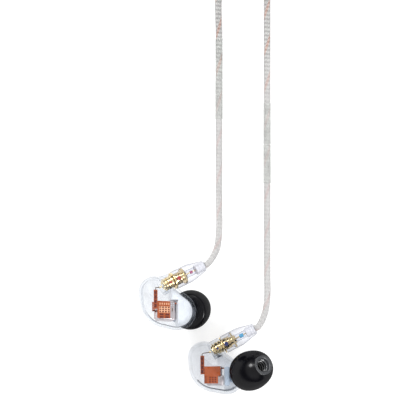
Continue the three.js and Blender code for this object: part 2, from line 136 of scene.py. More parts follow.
def rounded(profile, radius):
    """A profile with each corner off the axis turned into a small curve."""
    out = []
    count = len(profile)
    for i, point in enumerate(profile):
        here = Vector(point)
        before, after = Vector(profile[i - 1]), Vector(profile[(i + 1) % count])
        if here.y < 1e-6:
            out.append(tuple(here))
            continue
        back = min(radius, CORNER_SHARE * (before - here).length)
        ahead = min(radius, CORNER_SHARE * (after - here).length)
        start = here + (before - here).normalized() * back
        end = here + (after - here).normalized() * ahead
        for k in range(CORNER_STEPS + 1):
            t = k / CORNER_STEPS
            out.append(tuple(start * (1 - t) ** 2 + here * 2 * t * (1 - t) + end * t * t))
    return out


def turned(profile, sides=64):
    """A bmesh turned about +x from a closed profile of (x, radius)."""
    bm = bmesh.new()
    rings = []
    for x, r in profile:
        if r < 1e-6:
            rings.append([bm.verts.new((x, 0, 0))])
        else:
            turn = [2 * math.pi * k / sides for k in range(sides)]
            rings.append([bm.verts.new((x, r * math.cos(a), r * math.sin(a))) for a in turn])
    open_ended = len(rings[0]) == 1 and len(rings[-1]) == 1
    pairs = list(zip(rings, rings[1:])) + ([] if open_ended else [(rings[-1], rings[0])])
    for a, b in pairs:
        for k in range(sides):
            n = (k + 1) % sides
            if len(a) == 1 and len(b) == 1:
                continue
            if len(a) == 1:
                bm.faces.new((a[0], b[n], b[k]))
            elif len(b) == 1:
                bm.faces.new((a[k], a[n], b[0]))
            else:
                bm.faces.new((a[k], a[n], b[n], b[k]))
    return bm


def rod_profile(radius, start, end):
    """The profile of a solid rod along the axis."""
    return [(start, 0), (start, radius), (end, radius), (end, 0)]


def pipe_profile(radius, bore, start, end):
    """The profile of a pipe along the axis."""
    return [(start, bore), (start, radius), (end, radius), (end, bore)]


def skin(bm, rings):
    """Faces between each ring of points and the next."""
    for a, b in zip(rings, rings[1:]):
        for k in range(len(a)):
            n = (k + 1) % len(a)
            bm.faces.new((a[k], a[n], b[n], b[k]))


def soft_box(bm, low, high, bevel, segments=3):
    """Adds a box with rounded edges to a bmesh."""
    size = [b - a for a, b in zip(low, high)]
    middle = Vector([(a + b) / 2 for a, b in zip(low, high)])
    made = bmesh.ops.create_cube(bm, size=1)["verts"]
    for vert in made:
        vert.co = Vector([c * s for c, s in zip(vert.co, size)]) + middle
    edges = {edge for vert in made for edge in vert.link_edges}
    if bevel > 0:
        bmesh.ops.bevel(bm, geom=list(edges), offset=min(bevel, min(size) * 0.45), segments=segments,
                        profile=0.5, affect="EDGES")


# ---------------------------------------------------------------- materials
def new_material(name):
    """A node material with its nodes, links and main shader."""
    material = bpy.data.materials.new(name)
    material.use_nodes = True
    nodes = material.node_tree.nodes
    shader = nodes["Principled BSDF"]
    return material, nodes, material.node_tree.links, shader


def noise_node(nodes, links, scale, detail=4.0, stretch=None):
    """Noise laid in the object's own coordinates, stretched where asked."""
    place = nodes.new("ShaderNodeTexCoord").outputs["Object"]
    pattern = nodes.new("ShaderNodeTexNoise")
    pattern.inputs["Scale"].default_value = scale
    pattern.inputs["Detail"].default_value = detail
    if stretch:
        mapping = nodes.new("ShaderNodeMapping")
        mapping.inputs["Scale"].default_value = stretch
        links.new(place, mapping.inputs["Vector"])
        place = mapping.outputs["Vector"]
    links.new(place, pattern.inputs["Vector"])
    return pattern.outputs["Fac"]


def ramp(nodes, links, factor, stops):
    """Colours for a factor, from a list of (position, colour)."""
    made = nodes.new("ShaderNodeValToRGB")
    band = made.color_ramp
    while len(band.elements) < len(stops):
        band.elements.new(0.5)
    for element, (position, colour) in zip(band.elements, stops):
        element.position = position
        element.color = (*colour, 1)
    links.new(factor, made.inputs["Fac"])
    return made.outputs["Color"]


def remap(nodes, links, factor, low, high):
    """A factor from 0 to 1 turned into low to high."""
    made = nodes.new("ShaderNodeMapRange")
    made.inputs["To Min"].default_value = low
    made.inputs["To Max"].default_value = high
    links.new(factor, made.inputs["Value"])
    return made.outputs["Result"]


def bump(nodes, links, shader, height, strength, distance):
    """Raises a shader's surface by a height pattern."""
    made = nodes.new("ShaderNodeBump")
    made.inputs["Strength"].default_value = strength
    made.inputs["Distance"].default_value = distance
    links.new(height, made.inputs["Height"])
    links.new(made.outputs["Normal"], shader.inputs["Normal"])


BARE_FROM_M, BARE_BY_M = 0.066, 0.088


def past_sleeves(nodes, links, near, far):
    """Blends from one colour to another along the run, over the length that the sleeves cover."""
    place = nodes.new("ShaderNodeTexCoord")
    along = nodes.new("ShaderNodeSeparateXYZ")
    links.new(place.outputs["Object"], along.inputs["Vector"])
    share = nodes.new("ShaderNodeMapRange")
    links.new(along.outputs["Y"], share.inputs["Value"])
    share.inputs["From Min"].default_value = BARE_FROM_M
    share.inputs["From Max"].default_value = BARE_BY_M
    mix = nodes.new("ShaderNodeMix")
    mix.data_type = "RGBA"
    links.new(share.outputs["Result"], mix.inputs["Factor"])
    links.new(near, mix.inputs["A"])
    links.new(far, mix.inputs["B"])
    return mix.outputs["Result"]


def blend_by_facing(nodes, links, face_on, turned_away, shares):
    """Gives the material one shader where it faces the eye and another where it turns away."""
    facing = nodes.new("ShaderNodeLayerWeight")
    facing.inputs["Blend"].default_value = 0.5
    mix = nodes.new("ShaderNodeMixShader")
    links.new(ramp(nodes, links, facing.outputs["Facing"], shares), mix.inputs["Fac"])
    links.new(face_on.outputs["BSDF"], mix.inputs[1])
    links.new(turned_away.outputs["BSDF"], mix.inputs[2])
    links.new(mix.outputs["Shader"], nodes["Material Output"].inputs["Surface"])


def clear_plastic(name, tint, milk, rough, shares, far_edge_shade=None):
    """Polished clear plastic: open face on, and glossy and faintly milky where it turns away; given a far
    colour, painted shade darkens those edges past the sleeves.
    """
    material, nodes, links, shader = new_material(name)
    shader.inputs["IOR"].default_value = 1.5
    grain = noise_node(nodes, links, 420, 3)
    milk_and_edge_shade = ramp(nodes, links, grain, [(0.3, milk), (0.75, [min(1, c * 1.06) for c in milk])])
    # A far colour makes the edges past the sleeves near black: painted shade along the edges.
    if far_edge_shade:
        milk_and_edge_shade = past_sleeves(nodes, links, milk_and_edge_shade, ramp(nodes, links, grain, [(0.3, far_edge_shade), (0.75, milk)]))
    links.new(milk_and_edge_shade, shader.inputs["Base Color"])
    links.new(remap(nodes, links, grain, *rough), shader.inputs["Roughness"])
    bump(nodes, links, shader, noise_node(nodes, links, 260, 2), 0.03, 0.0002)
    clear = nodes.new("ShaderNodeBsdfTransparent")
    tints = [(0.35, [c * 0.975 for c in tint]), (0.65, [min(1, c * 1.02) for c in tint])]
    links.new(ramp(nodes, links, grain, tints), clear.inputs["Color"])
    blend_by_facing(nodes, links, clear, shader, shares)
    return material


def grey(value):
    return (value, value, value)


def metal(name, colour, dark, rough, grain_scale, stretch=None, bumpiness=0.05):
    """Metal with fine grain in its colour, shine and surface."""
    material, nodes, links, shader = new_material(name)
    shader.inputs["Metallic"].default_value = 1.0
    grain = noise_node(nodes, links, grain_scale, 6, stretch)
    links.new(ramp(nodes, links, grain, [(0.25, dark), (0.7, colour)]), shader.inputs["Base Color"])
    links.new(remap(nodes, links, grain, *rough), shader.inputs["Roughness"])
    bump(nodes, links, shader, grain, bumpiness, 0.00005)
    return material


def solid_plastic(name, colour, variation, rough, scale, bumpiness, shine=0.5):
    """Opaque plastic, paint or rubber with a moulded grain."""
    material, nodes, links, shader = new_material(name)
    grain = noise_node(nodes, links, scale, 6)
    lighter = [min(1, c + variation) for c in colour]
    links.new(ramp(nodes, links, grain, [(0.3, colour), (0.75, lighter)]), shader.inputs["Base Color"])
    links.new(remap(nodes, links, grain, *rough), shader.inputs["Roughness"])
    shader.inputs["Specular IOR Level"].default_value = shine
    bump(nodes, links, shader, grain, bumpiness, 0.00005)
    return material


def foam_material():
    """Slow-recovery foam with a smooth skin: fine closed pores and a thin, even shine."""
    material, nodes, links, shader = new_material("foam_skin")
    place = nodes.new("ShaderNodeTexCoord")
    pores = nodes.new("ShaderNodeTexVoronoi")
    pores.inputs["Scale"].default_value = 3200
    links.new(place.outputs["Object"], pores.inputs["Vector"])
    mottle = noise_node(nodes, links, 500, 6)
    links.new(ramp(nodes, links, mottle, [(0.3, (0.001, 0.001, 0.002)), (0.75, (0.004, 0.004, 0.006))]),
              shader.inputs["Base Color"])
    links.new(remap(nodes, links, mottle, 0.5, 0.7), shader.inputs["Roughness"])
    shader.inputs["Specular IOR Level"].default_value = 0.0
    bump(nodes, links, shader, pores.outputs["Distance"], 0.12, 0.00006)
    gloss = nodes.new("ShaderNodeBsdfAnisotropic")
    links.new(remap(nodes, links, mottle, 0.17, 0.25), gloss.inputs["Roughness"])
    bump(nodes, links, gloss, pores.outputs["Distance"], 0.08, 0.00006)
    blend_by_facing(nodes, links, shader, gloss,
                    [(0.0, grey(0.022)), (0.5, grey(0.022)), (0.8, grey(0.045)), (1.0, grey(0.12))])
    return material


def wire_lay(name, near, light, dark):
    """Fine wires laid in a strand: veiled near the monitors, bare and deeply lined beyond the sleeves (the
    filler's near black there paints shade between strands).
    """
    material, nodes, links, shader = new_material(name)
    place = nodes.new("ShaderNodeTexCoord")
    mapping = nodes.new("ShaderNodeMapping")
    mapping.inputs["Rotation"].default_value = (0, 0, math.radians(38))
    links.new(place.outputs["UV"], mapping.inputs["Vector"])
    lay = nodes.new("ShaderNodeTexWave")
    lay.inputs["Scale"].default_value = 0.42
    lay.inputs["Distortion"].default_value = 0.6
    links.new(mapping.outputs["Vector"], lay.inputs["Vector"])
    veiled = ramp(nodes, links, lay.outputs["Fac"], [(0.1, [0.86 * c for c in near]), (0.65, near)])
    bare = ramp(nodes, links, lay.outputs["Fac"], [(0.25, dark), (0.6, light)])
    links.new(past_sleeves(nodes, links, veiled, bare), shader.inputs["Base Color"])
    links.new(remap(nodes, links, lay.outputs["Fac"], 0.45, 0.3), shader.inputs["Roughness"])
    bump(nodes, links, shader, lay.outputs["Fac"], 0.3, 0.00005)
    return material


def woven_material(name, colour):
    """Close-woven strap."""
    material, nodes, links, shader = new_material(name)
    place = nodes.new("ShaderNodeTexCoord")
    weave = nodes.new("ShaderNodeTexWave")
    weave.wave_type = "BANDS"
    weave.bands_direction = "DIAGONAL"
    weave.inputs["Scale"].default_value = 900
    weave.inputs["Distortion"].default_value = 1.5
    links.new(place.outputs["Object"], weave.inputs["Vector"])
    lighter = [c * 2.2 for c in colour]
    links.new(ramp(nodes, links, weave.outputs["Fac"], [(0.3, colour), (0.8, lighter)]),
              shader.inputs["Base Color"])
    links.new(remap(nodes, links, weave.outputs["Fac"], 0.7, 0.95), shader.inputs["Roughness"])
    shader.inputs["Sheen Weight"].default_value = 0.4
    bump(nodes, links, shader, weave.outputs["Fac"], 0.5, 0.0001)
    return material


CLEAR = clear_plastic(
    "clear_shell", (0.95, 0.957, 0.966), (0.34, 0.37, 0.43), (0.04, 0.12),
    [(0.0, grey(0.02)), (0.6, grey(0.05)), (0.85, grey(0.22)), (0.95, grey(0.6)), (1.0, grey(0.9))])
CLEAR_HOUSING = clear_plastic(
    "clear_housing", (0.94, 0.945, 0.965), (0.19, 0.2, 0.25), (0.05, 0.14),
    [(0.0, grey(0.03)), (0.4, grey(0.09)), (0.65, grey(0.32)), (0.85, grey(0.62)), (1.0, grey(0.9))])
CLEAR_SLEEVE = clear_plastic(
    "clear_sleeve", (0.975, 0.98, 0.975), (0.74, 0.75, 0.74), (0.15, 0.3),
    [(0.0, grey(0.06)), (0.5, grey(0.1)), (0.85, grey(0.3)), (1.0, grey(0.75))])
# Its last colour darkens the jacket's edges past the sleeves: painted shade along the cable's edges.
JACKET = clear_plastic(
    "clear_jacket", (0.985, 0.98, 0.98), (0.36, 0.355, 0.35), (0.1, 0.25),
    [(0.0, grey(0.08)), (0.4, grey(0.16)), (0.6, grey(0.5)), (0.8, grey(0.85)), (1.0, grey(1.0))],
    (0.08, 0.078, 0.076))
GOLD = metal("gold_plate", (1.0, 0.83, 0.50), (0.86, 0.65, 0.32), (0.14, 0.28), 1500, None, 0.02)
STEEL = metal("drawn_steel", (0.74, 0.68, 0.68), (0.5, 0.43, 0.43), (0.3, 0.45), 900, (1, 0.2, 1))
SOLDER = metal("solder", (0.9, 0.9, 0.92), (0.7, 0.7, 0.72), (0.25, 0.45), 2500)
LEAD = metal("tinned_lead", (0.3, 0.22, 0.18), (0.12, 0.08, 0.06), (0.25, 0.45), 2000)
MESH_METAL = metal("filter_mesh", (0.6, 0.6, 0.58), (0.12, 0.12, 0.12), (0.3, 0.5), 9000, None, 0.4)
FILM = solid_plastic("polyimide_film", (0.4, 0.074, 0.006), 0.04, (0.2, 0.38), 700, 0.08, 0.2)
TRACE = solid_plastic("dark_trace", (0.13, 0.014, 0.002), 0.02, (0.2, 0.35), 1800, 0.08, 0.2)
TRACE_LIGHT = solid_plastic("light_trace", (0.84, 0.40, 0.20), 0.1, (0.2, 0.35), 1800, 0.08)
WHITE = solid_plastic("white_plastic", (0.7, 0.71, 0.7), 0.1, (0.35, 0.55), 1200, 0.05)
BOOT = solid_plastic("grey_boot", (0.42, 0.50, 0.60), 0.12, (0.45, 0.65), 900, 0.08)
FROST = solid_plastic("frosted_saddle", (0.8, 0.82, 0.85), 0.08, (0.3, 0.5), 500, 0.1)
MILKY = solid_plastic("milky_clamp", (0.7, 0.7, 0.73), 0.1, (0.3, 0.5), 900, 0.1)
GLUE = solid_plastic("glue_line", (0.15, 0.16, 0.18), 0.05, (0.2, 0.4), 1500, 0.1)
BLACK = solid_plastic("black_plastic", (0.012, 0.012, 0.014), 0.012, (0.35, 0.55), 4000, 0.15)
CORE = solid_plastic("tip_core", (0.036, 0.038, 0.043), 0.01, (0.22, 0.32), 2500, 0.08, 0.9)
RED = solid_plastic("red_paint", (0.32, 0.008, 0.012), 0.1, (0.25, 0.4), 2500, 0.1)
BLUE = solid_plastic("blue_paint", (0.008, 0.02, 0.13), 0.05, (0.25, 0.4), 2500, 0.1)
MAGENTA = solid_plastic("magenta_band", (0.45, 0.06, 0.18), 0.1, (0.3, 0.5), 2500, 0.1)
CYAN = solid_plastic("blue_band", (0.06, 0.38, 0.62), 0.1, (0.3, 0.5), 2500, 0.1)
FOAM = foam_material()
SILVER_WIRE = wire_lay("silver_wires", (0.74, 0.735, 0.73), (0.84, 0.84, 0.83), (0.52, 0.52, 0.51))
COPPER_WIRE = wire_lay("copper_wires", (0.74, 0.66, 0.65), (0.86, 0.68, 0.62), (0.56, 0.36, 0.30))
# Past the sleeves the filler turns near black, so the gaps between strands show painted shade.
WIRE_CORE_AND_GAP_SHADE = wire_lay("wire_core_and_gap_shade", (0.66, 0.655, 0.65), (0.16, 0.155, 0.15), (0.05, 0.05, 0.05))
WOVEN = woven_material("hook_and_loop", (0.02, 0.02, 0.023))


# ---------------------------------------------------------------- the cable
CABLE_START = 8.6
HOUSING_LENGTH = 11.5
BRANCH = 1.0
MAIN = 1.1
BRANCH_Z = 1.35
COIL_CENTRE = Vector((6, 126, 0))
COIL_BASE = 0.9
COIL_MIDDLE = 12.0
COIL_LAYER = 0.3
RUN_X = {"right": 4.2, "left": 19.2}
TWIN_Y = 144.3
TWIN_APART = 2.2
TWIN_Z = 1.8
SPLIT_FROM, SPLIT_TO = -15.0, -6.0
PLUG_FROM, PLUG_Y, PLUG_Z = 15.5, 134.0, 19.7

RIGHT_LEAD = [
    on_axis("right", CABLE_START), on_axis("right", HOUSING_LENGTH), on_axis("right", HOUSING_LENGTH + 1.2),
    (3.3, 24.1, 11.0), (4.2, 30, 9.0), (4.2, 38, 5.6), (4.2, 46, 3.0), (4.2, 54, 1.6),
    (4.2, 62, BRANCH_Z), (4.2, 76, BRANCH_Z), (4.2, 90, BRANCH_Z),
    (4.2, 104, 1.5), (5.6, 108.5, 1.7), (8.6, 111.4, 1.9), (12.2, 112, 1.9),
]
LEFT_LEAD = [
    on_axis("left", CABLE_START), on_axis("left", HOUSING_LENGTH), on_axis("left", HOUSING_LENGTH + 1.2),
    (18.5, 4.6, 4.5), (19.2, 9.5, 3.7), (19.2, 16, 2.4), (19.2, 23, 1.6), (19.2, 31, BRANCH_Z),
    (19.2, 45, BRANCH_Z), (19.2, 60, BRANCH_Z), (19.2, 75, BRANCH_Z), (19.2, 90, BRANCH_Z),
    (19.2, 103, 1.6), (19.2, 110, 3.4), (19.2, 117.5, 5.6),
]
TWIN_INNER = TWIN_Y - TWIN_APART / 2
TWIN_OUTER = TWIN_Y + TWIN_APART / 2
RIGHT_TAIL = [
    (19.3, 134.9, 3.4), (17.7, 139.4, 2.6), (14.4, 142.3, 2.0), (10.4, TWIN_INNER, TWIN_Z),
    (9.4, TWIN_INNER, TWIN_Z), (5, TWIN_INNER, TWIN_Z), (0, TWIN_INNER, TWIN_Z),
    (SPLIT_TO + 0.3, TWIN_INNER, TWIN_Z),
]
LEFT_TAIL = [
    (20.4, 134.0, 7.3), (20.3, 139.4, 5.2), (16.6, 144.0, 2.9), (10.4, TWIN_OUTER, TWIN_Z),
    (9.4, TWIN_OUTER, TWIN_Z), (5, TWIN_OUTER, TWIN_Z), (0, TWIN_OUTER, TWIN_Z),
    (SPLIT_TO + 0.3, TWIN_OUTER, TWIN_Z),
]
MAIN_LEAD = [
    (SPLIT_FROM - 0.3, TWIN_Y, TWIN_Z), (-18.4, 143.7, 2.0), (-21.2, 141.3, 2.7), (-22.4, 137.4, 3.8),
    (-22.0, 132.6, 5.4), (-20.4, 128.0, 7.2), (-17.8, 123.8, 8.9), (-14.4, 120.2, 10.2), (-11.2, 117.6, 10.6),
]
MAIN_TAIL = [
    (22.4, 124.0, 17.3), (22.7, 127.5, 17.5), (21.9, 131.0, 18.6), (19.4, 133.6, 19.5),
    (PLUG_FROM + 0.3, PLUG_Y, PLUG_Z),
]


def smoothstep(t):
    """A soft start and stop between 0 and 1."""
    t = max(0.0, min(1.0, t))
    return t * t * (3 - 2 * t)


def coil_slots(radius, across, high, base, extra=None):
    """The middles of a coil's turns, from the outside in and back out, layer by layer."""
    slots = []
    for layer in range(high):
        ring = [COIL_MIDDLE + radius * (across - 1 - 2 * k) for k in range(across)]
        if layer % 2:
            ring.reverse()
        slots += [(r, base + radius * (1 + 2 * layer)) for r in ring]
    return slots + ([extra] if extra else [])


PER_TURN = 24
CROSSING = 0.2
SETTLING = 0.16


def wound(slots, enter, leave):
    """Points of a coil between its lead's last point and its tail's first, both in the row's mm."""
    def polar(point):
        flat = Vector(point) - COIL_CENTRE
        return math.atan2(flat.y, flat.x), math.hypot(flat.x, flat.y), point[2]

    enter_angle, enter_r, enter_z = polar(enter)
    leave_angle, leave_r, leave_z = polar(leave)
    part = ((leave_angle - enter_angle) / (2 * math.pi)) % 1.0
    total = len(slots) - 1 + part
    steps = round(total * PER_TURN)
    points = []
    for i in range(1, steps):
        turn = total * i / steps
        k = min(int(turn), len(slots) - 1)
        r, z = slots[k]
        if k + 1 < len(slots):
            move = smoothstep((turn - k - (1 - CROSSING)) / CROSSING)
            r += move * (slots[k + 1][0] - r)
            z += move * (slots[k + 1][1] - z)
        come = smoothstep(turn / SETTLING)
        r, z = enter_r + come * (r - enter_r), enter_z + come * (z - enter_z)
        go = smoothstep((turn - (total - part)) / part)
        r, z = r + go * (leave_r - r), z + go * (leave_z - z)
        angle = enter_angle + 2 * math.pi * turn
        points.append(COIL_CENTRE + Vector((r * math.cos(angle), r * math.sin(angle), z)))
    return points


def catmull_rom(points, step):
    """A centripetal curve through the points, as closely spaced as step."""
    p = [Vector(q) for q in points]
    p = [2 * p[0] - p[1]] + p + [2 * p[-1] - p[-2]]
    fine = []
    for i in range(1, len(p) - 2):
        a, b, c, d = p[i - 1], p[i], p[i + 1], p[i + 2]
        t1 = (b - a).length ** 0.5
        t2 = t1 + (c - b).length ** 0.5
        t3 = t2 + (d - c).length ** 0.5
        count = max(2, math.ceil((c - b).length / step))
        for k in range(count):
            t = t1 + (t2 - t1) * k / count
            ab = a * ((t1 - t) / t1) + b * (t / t1)
            bc = b * ((t2 - t) / (t2 - t1)) + c * ((t - t1) / (t2 - t1))
            cd = c * ((t3 - t) / (t3 - t2)) + d * ((t - t2) / (t3 - t2))
            abc = ab * ((t2 - t) / t2) + bc * (t / t2)
            bcd = bc * ((t3 - t) / (t3 - t1)) + cd * ((t - t1) / (t3 - t1))
            fine.append(abc * ((t2 - t) / (t2 - t1)) + bcd * ((t - t1) / (t2 - t1)))
    fine.append(p[-2])
    return fine


def evenly(points, step):
    """The same line with points at even distances."""
    out = [points[0]]
    left = step
    for a, b in zip(points, points[1:]):
        length = (b - a).length
        done = 0.0
        while length - done >= left:
            done += left
            out.append(a.lerp(b, done / length))
            left = step
        left -= length - done
    if (out[-1] - points[-1]).length > 0.3 * step:
        out.append(points[-1])
    else:
        out[-1] = points[-1]
    return out


def carried_frames(path):
    """A tangent, normal and side for each point, carried along without twist."""
    frames = []
    normal = None
    for i, point in enumerate(path):
        tangent = (path[min(i + 1, len(path) - 1)] - path[max(i - 1, 0)]).normalized()
        if normal is None:
            normal = tangent.orthogonal().normalized()
        normal = (normal - normal.dot(tangent) * tangent).normalized()
        frames.append((point, tangent, normal, tangent.cross(normal)))
    return frames


def add_tube(bm, frames, radius, sides, uv_layer, offset=0.0, pitch=1.0, phase=0.0, material_index=0):
    """A closed tube along the frames, or a strand wound round them at an offset."""
    step = (frames[1][0] - frames[0][0]).length
    centres = []
    for i, (point, _, normal, side) in enumerate(frames):
        turn = phase + 2 * math.pi * i * step / pitch
        centres.append(point + offset * (math.cos(turn) * normal + math.sin(turn) * side))
    rings = []
    for i, (_, _, normal, side) in enumerate(frames):
        around = [2 * math.pi * k / sides for k in range(sides)]
        rings.append([bm.verts.new(centres[i] + radius * (math.cos(a) * normal + math.sin(a) * side))
                      for a in around])
    for i, (a, b) in enumerate(zip(rings, rings[1:])):
        for k in range(sides):
            n = (k + 1) % sides
            face = bm.faces.new((a[k], a[n], b[n], b[k]))
            face.material_index = material_index
            corner = [(k, i), (k + 1, i), (k + 1, i + 1), (k, i + 1)]
            for loop, (girth, along) in zip(face.loops, corner):
                loop[uv_layer].uv = (girth * radius * 2 * math.pi / sides, along * step + 0.1 * phase)
    for ring in (rings[0], rings[-1]):
        face = bm.faces.new(ring)
        face.material_index = material_index


STRANDS = 10
COPPER_STRANDS = 2
STRAND_LAY = 11.5
STRAND_RADIUS, STRAND_OFFSET, FILLER_RADIUS = 0.185, 0.72, 0.62
SILVER_INDEX, COPPER_INDEX, FILLER_INDEX = 0, 1, 2


def make_cord(name, route, radius, nodes):
    """The jacket and the twisted strands in it, as two pieces, and the cord's centreline in metres."""
    path = evenly(catmull_rom(route, 0.4), 1.0)
    frames = carried_frames(path)
    strands = bmesh.new()
    uv = strands.loops.layers.uv.new("lay")
    add_tube(strands, frames, FILLER_RADIUS * radius, 10, uv, material_index=FILLER_INDEX)
    for k in range(STRANDS):
        turn = 2 * math.pi * k / STRANDS
        wire = COPPER_INDEX if k < COPPER_STRANDS else SILVER_INDEX
        add_tube(strands, frames, STRAND_RADIUS * radius, 6, uv, STRAND_OFFSET * radius, STRAND_LAY, turn,
                 wire)
    core = finish_mesh(name + "_strands", strands, ROW, SILVER_WIRE, sharp=80)
    core.data.materials.append(COPPER_WIRE)
    core.data.materials.append(WIRE_CORE_AND_GAP_SHADE)
    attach(core, "cable")
    jacket = bmesh.new()
    add_tube(jacket, frames, radius, 16, jacket.loops.layers.uv.new("lay"))
    outside = finish_mesh(name, jacket, ROW, JACKET, sharp=80)
    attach(outside, "cable")
    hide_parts(*nodes)
    length = sum((b - a).length for a, b in zip(path, path[1:])) * M
    return outside, core, [tuple(point * M) for point in path], length


branch_height = 4 * BRANCH
LEFT_BASE = COIL_BASE + branch_height + COIL_LAYER
MAIN_BASE = LEFT_BASE + branch_height + COIL_LAYER
COIL_TOP = MAIN_BASE + 6 * MAIN

right_route = (RIGHT_LEAD + wound(coil_slots(BRANCH, 2, 2, COIL_BASE), RIGHT_LEAD[-1], RIGHT_TAIL[0])
               + RIGHT_TAIL)
left_route = (LEFT_LEAD + wound(coil_slots(BRANCH, 2, 2, LEFT_BASE), LEFT_LEAD[-1], LEFT_TAIL[0])
              + LEFT_TAIL)
main_slots = coil_slots(MAIN, 5, 3, MAIN_BASE, extra=(COIL_MIDDLE - 4 * MAIN, COIL_TOP + MAIN + 0.1))
main_route = MAIN_LEAD + wound(main_slots, MAIN_LEAD[-1], MAIN_TAIL[0]) + MAIN_TAIL

CORDS = {
    "right": make_cord("right_branch_cable", right_route, BRANCH,
                       ["right_branch_lead", "right_branch_coil", "right_branch_tail"]),
    "left": make_cord("left_branch_cable", left_route, BRANCH,
                      ["left_branch_lead", "left_branch_coil", "left_branch_tail"]),
    "main": make_cord("main_cable", main_route, MAIN, ["main_lead", "main_coil", "main_tail"]),
}
cord_pieces = {"right": [], "left": [], "main": []}

# ---- sleeves on the two runs
SLEEVE_BORE = 1.05
SLEEVES = {
    "right": {"wire_crimp_sleeve": (1.29, 65.0, 77.0), "wire_end_sleeve": (1.17, 77.3, 90.0)},
    "left": {"wire_crimp_sleeve": (1.29, 45.0, 56.9), "wire_end_sleeve": (1.17, 57.2, 70.0)},
}
for side, pair in SLEEVES.items():
    along_y = ROW @ Matrix.Translation((RUN_X[side], 0, BRANCH_Z)) @ Matrix.Rotation(math.pi / 2, 4, "Z")
    for part, (radius, start, end) in pair.items():
        node = side + "_" + part
        bm = turned(rounded(pipe_profile(radius, SLEEVE_BORE, start, end), 0.12), 40)
        made = install(finish_mesh(node + "_fine", bm, along_y, CLEAR_SLEEVE), node)
        cord_pieces[side].append(made)


# ---- the split, the slider, the tie
def capsule(start, end, width, height, corner, taper=0.0):
    """A rounded flat-sided block along x, narrower at its end by taper."""
    bm = bmesh.new()
    soft_box(bm, (start, TWIN_Y - width / 2, 0), (end, TWIN_Y + width / 2, height), corner, 5)
    if taper:
        for vert in bm.verts:
            share = (vert.co.x - start) / (end - start)
            vert.co.y = TWIN_Y + (vert.co.y - TWIN_Y) * (1 - taper * (1 - share))
    return bm


def drill(made, centres, radius, start, end):
    """Cuts holes along x through a piece."""
    for y, z in centres:
        bm = turned(rod_profile(radius, start, end), 32)
        cutter = finish_mesh("cutter", bm, ROW @ Matrix.Translation((0, y, z)), BLACK)
        boolean(made, cutter, "DIFFERENCE")


def boolean(target, other, operation):
    """Applies a boolean with another object, which is then removed."""
    change = target.modifiers.new("cut", "BOOLEAN")
    change.operation = operation
    change.solver = "EXACT"
    change.object = other
    bpy.context.view_layer.update()
    graph = bpy.context.evaluated_depsgraph_get()
    result = bpy.data.meshes.new_from_object(target.evaluated_get(graph))
    target.modifiers.clear()
    old = target.data
    target.data = result
    bpy.data.meshes.remove(old)
    bpy.data.objects.remove(other)


split = finish_mesh("y_split_fine", capsule(SPLIT_FROM, SPLIT_TO, 7, 3.6, 0.9, 0.35), ROW, BLACK)
install(split, "y_split")
slider_bm = capsule(-5.6, 0.9, 7.4, 3.6, 0.9)
slider = finish_mesh("cable_slider_fine", slider_bm, ROW, CLEAR_HOUSING)
drill(slider, [(TWIN_INNER, TWIN_Z), (TWIN_OUTER, TWIN_Z)], BRANCH + 0.1, -7, 3)
install(slider, "cable_slider")
cord_pieces["main"].append(split)


def tie():
    """A strap round one side of the coils."""
    low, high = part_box("cable_tie")
    low, high = low / M, high / M
    thick, width, corner = 0.6, high.y - low.y, 0.9
    middle_y = (low.y + high.y) / 2
    loop = []
    x0, x1, z0, z1 = low.x + thick / 2, high.x - thick / 2, low.z + thick / 2, high.z - thick / 2
    for cx, cz, a0 in ((x1 - corner, z1 - corner, 0), (x0 + corner, z1 - corner, 90),
                       (x0 + corner, z0 + corner, 180), (x1 - corner, z0 + corner, 270)):
        for k in range(6):
            a = math.radians(a0 + 18 * k)
            loop.append((cx + corner * math.cos(a), cz + corner * math.sin(a), math.cos(a), math.sin(a)))
    bm = bmesh.new()
    rings = []
    for x, z, nx, nz in loop:
        ring = []
        for across, out in ((-0.5, -0.5), (0.5, -0.5), (0.5, 0.5), (-0.5, 0.5)):
            at = (x + out * thick * nx, middle_y + across * width, z + out * thick * nz)
            ring.append(bm.verts.new(at))
        rings.append(ring)
    skin(bm, rings + rings[:1])
    return bm


made_tie = install(finish_mesh("cable_tie_fine", tie(), ROW, WOVEN, sharp=50), "cable_tie")
cord_pieces["main"].append(made_tie)

# ---- the stereo plug
RELIEF, BODY, PIN_RADIUS, PIN_LENGTH, BODY_RADIUS = 6.0, 15.0, 1.75, 14.0, 3.5
BODY_END = RELIEF + BODY
PIN_END = BODY_END + PIN_LENGTH
TIP_START = PIN_END - 3.4
RING_START = TIP_START - 0.5 - 2.2
SLEEVE_END = RING_START - 0.5
PLUG = ROW @ Matrix.Translation((PLUG_FROM, PLUG_Y, PLUG_Z)) @ Matrix.Rotation(math.pi, 4, "Z")
relief_profile = [(0, MAIN + 0.06), (0, MAIN + 0.6)]
for k in range(5):
    x, r = 0.7 + k, MAIN + 0.65 + 0.1 * k
    relief_profile += [(x, r), (x + 0.05, r - 0.25), (x + 0.35, r - 0.22), (x + 0.4, r + 0.08)]
relief_profile += [(5.7, 2.2), (5.7, MAIN + 0.06)]
body_profile = [(RELIEF, 0), (RELIEF, 2.8), (RELIEF + 0.8, BODY_RADIUS)]
for k in range(6):
    x = RELIEF + 3.4 + 1.5 * k
    body_profile += [(x, BODY_RADIUS), (x + 0.12, BODY_RADIUS - 0.18), (x + 0.5, BODY_RADIUS - 0.18),
                     (x + 0.62, BODY_RADIUS)]
body_profile += [(BODY_END - 0.6, BODY_RADIUS), (BODY_END, BODY_RADIUS - 0.5), (BODY_END, 0)]
PIN_CORE = 0.8
insulator_profile = [(BODY_END + 0.1, 0), (BODY_END + 0.1, PIN_CORE)]
for start, end in ((SLEEVE_END + 0.06, RING_START - 0.06), (TIP_START - 0.44, TIP_START - 0.06)):
    insulator_profile += [(start, PIN_CORE), (start, 1.7), (end, 1.7), (end, PIN_CORE)]
insulator_profile += [(TIP_START + 1.2, PIN_CORE), (TIP_START + 1.2, 0)]
ring_bore = PIN_CORE + 0.06
